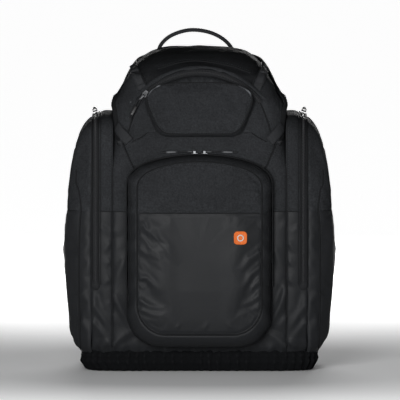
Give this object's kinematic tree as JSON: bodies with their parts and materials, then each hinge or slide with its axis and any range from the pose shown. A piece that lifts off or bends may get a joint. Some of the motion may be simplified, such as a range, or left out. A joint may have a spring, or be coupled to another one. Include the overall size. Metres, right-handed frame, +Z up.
{
  "type": "ski boot backpack",
  "caption": "Ski boot backpack with a hinged hood over the main compartment, zipped boot compartments at the sides, a zipped front pocket and a padded harness with chest and hip buckles.",
  "frame": {"origin": "on the floor, under the middle of the base", "axes": "+Z up, front of the bag towards -Y, +X to the right seen from the front"},
  "size_m": [0.496, 0.4113, 0.6167],
  "materials": {
    "canvas": "coarse woven polyester canvas, charcoal",
    "tarpaulin": "coated tarpaulin, charcoal with a soft sheen",
    "webbing": "woven nylon webbing and zip tape, black",
    "spacer_mesh": "padded spacer mesh, black",
    "lining": "light grey-black lining fabric",
    "plastic": "moulded acetal, black",
    "metal": "plated zinc zip sliders",
    "badge": "moulded orange rubber patch"
  },
  "bodies": {
    "pack": {"front_panel": "tarpaulin", "back_panel": "tarpaulin", "collar_left": "canvas", "collar_right": "canvas", "boot_gusset_left": "canvas", "boot_gusset_right": "canvas", "boot_cup_left": "tarpaulin", "boot_cup_right": "tarpaulin", "base_hem": "webbing", "base_panel": "tarpaulin", "divider_left": "lining", "divider_right": "lining", "frame_sheet": "plastic", "front_pocket_base": "tarpaulin", "boot_zip_left": "webbing", "boot_zip_right": "webbing", "main_zip": "webbing", "shoulder_strap_left": "spacer_mesh", "shoulder_strap_right": "spacer_mesh", "ladder_lock_left": "plastic", "ladder_lock_right": "plastic", "strap_webbing_left": "webbing", "strap_webbing_right": "webbing", "back_pad": "spacer_mesh", "lumbar_pad": "spacer_mesh", "hip_wing_left": "spacer_mesh", "hip_wing_right": "spacer_mesh", "hip_webbing_left": "webbing", "hip_webbing_right": "webbing", "hip_buckle_female": "plastic"},
    "hood": {"hood_shell": "canvas", "helmet_loop_left": "webbing", "helmet_loop_right": "webbing", "goggle_zip": "webbing", "zip_tab_left": "webbing", "zip_tab_right": "webbing"},
    "goggle_pocket": {"goggle_pocket": "canvas"},
    "goggle_slider": {"goggle_slider": "metal"},
    "goggle_puller": {"goggle_puller": "webbing"},
    "front_flap": {"front_pocket_flap": "tarpaulin", "front_pocket_zip": "webbing", "badge": "badge"},
    "front_left_slider": {"front_left_slider": "metal"},
    "front_left_puller": {"front_left_puller": "webbing"},
    "front_right_slider": {"front_right_slider": "metal"},
    "front_right_puller": {"front_right_puller": "webbing"},
    "boot_door_left": {"boot_door_left": "canvas"},
    "boot_door_right": {"boot_door_right": "canvas"},
    "boot_left_slider": {"boot_left_slider": "metal"},
    "boot_left_puller": {"boot_left_puller": "webbing"},
    "boot_right_slider": {"boot_right_slider": "metal"},
    "boot_right_puller": {"boot_right_puller": "webbing"},
    "main_slider": {"main_slider": "metal"},
    "main_puller": {"main_puller": "webbing"},
    "carry_handle": {"carry_handle": "webbing"},
    "sternum_strap": {"sternum_webbing_left": "webbing", "sternum_webbing_right": "webbing", "sternum_buckle_female": "plastic"},
    "sternum_buckle_male": {"sternum_buckle_male": "plastic"},
    "hip_buckle_male": {"hip_buckle_male": "plastic"}
  },
  "joints": [
    {"name": "hood_hinge", "type": "hinge", "parent": "pack", "child": "hood", "pos_m": [0, -0.148, 0.422], "axis": [1, 0, 0], "range_deg": [0, 90]},
    {"name": "goggle_pocket_hinge", "type": "hinge", "parent": "hood", "child": "goggle_pocket", "pos_m": [0, -0.14582, 0.43178], "axis": [1, 0, 0], "range_deg": [0, 45]},
    {"name": "goggle_zip_run", "type": "hinge", "parent": "hood", "child": "goggle_slider", "pos_m": [0, -0.14916, 0.41796], "axis": [0, 0.9613, -0.2756], "range_deg": [0, 88]},
    {"name": "goggle_puller_pivot", "type": "hinge", "parent": "goggle_slider", "child": "goggle_puller", "pos_m": [-0.09909, -0.13057, 0.51218], "axis": [-0.7193, 0.1915, 0.6677], "range_deg": [0, 60]},
    {"name": "front_flap_hinge", "type": "hinge", "parent": "pack", "child": "front_flap", "pos_m": [0, -0.196, 0.159], "axis": [1, 0, 0], "range_deg": [0, 75]},
    {"name": "front_zip_run_left", "type": "hinge", "parent": "front_flap", "child": "front_left_slider", "pos_m": [0, -0.1565, 0.069], "axis": [0, -1, 0], "range_deg": [0, 11]},
    {"name": "front_puller_pivot_left", "type": "hinge", "parent": "front_left_slider", "child": "front_left_puller", "pos_m": [-0.00922, -0.1565, 0.40697], "axis": [0, 1, 0], "range_deg": [0, 17]},
    {"name": "front_zip_run_right", "type": "hinge", "parent": "front_flap", "child": "front_right_slider", "pos_m": [0, -0.1565, 0.069], "axis": [0, 1, 0], "range_deg": [0, 11]},
    {"name": "front_puller_pivot_right", "type": "hinge", "parent": "front_right_slider", "child": "front_right_puller", "pos_m": [0.00922, -0.1565, 0.40697], "axis": [0, -1, 0], "range_deg": [0, 17]},
    {"name": "boot_door_hinge_left", "type": "hinge", "parent": "pack", "child": "boot_door_left", "pos_m": [-0.2465, 0, 0.166], "axis": [0, -1, 0], "range_deg": [0, 70]},
    {"name": "boot_door_hinge_right", "type": "hinge", "parent": "pack", "child": "boot_door_right", "pos_m": [0.2465, 0, 0.166], "axis": [0, 1, 0], "range_deg": [0, 70]},
    {"name": "boot_zip_run_left", "type": "slide", "parent": "pack", "child": "boot_left_slider", "axis": [0, -1, 0], "range_m": [0, 0.12]},
    {"name": "boot_puller_pivot_left", "type": "hinge", "parent": "boot_left_slider", "child": "boot_left_puller", "pos_m": [-0.19464, 0.06, 0.47382], "axis": [0.9444, 0, 0.3289], "range_deg": [0, 75]},
    {"name": "boot_zip_run_right", "type": "slide", "parent": "pack", "child": "boot_right_slider", "axis": [0, -1, 0], "range_m": [0, 0.12]},
    {"name": "boot_puller_pivot_right", "type": "hinge", "parent": "boot_right_slider", "child": "boot_right_puller", "pos_m": [0.19464, 0.06, 0.47382], "axis": [0.9444, 0, -0.3289], "range_deg": [0, 75]},
    {"name": "main_zip_run", "type": "slide", "parent": "pack", "child": "main_slider", "axis": [1, 0, 0], "range_m": [0, 0.08]},
    {"name": "main_puller_pivot", "type": "hinge", "parent": "main_slider", "child": "main_puller", "pos_m": [-0.04, 0.1438, 0.56409], "axis": [0, -0.1977, 0.9803], "range_deg": [0, 60]},
    {"name": "carry_handle_hinge", "type": "hinge", "parent": "pack", "child": "carry_handle", "pos_m": [0, 0.145, 0.548], "axis": [-1, 0, 0], "range_deg": [0, 80]},
    {"name": "sternum_height", "type": "slide", "parent": "pack", "child": "sternum_strap", "axis": [0, 0, 1], "range_m": [-0.04, 0.04]},
    {"name": "sternum_release", "type": "slide", "parent": "sternum_strap", "child": "sternum_buckle_male", "axis": [1, 0, 0], "range_m": [0, 0.03]},
    {"name": "hip_release", "type": "slide", "parent": "pack", "child": "hip_buckle_male", "axis": [1, 0, 0], "range_m": [0, 0.03]}
  ]
}
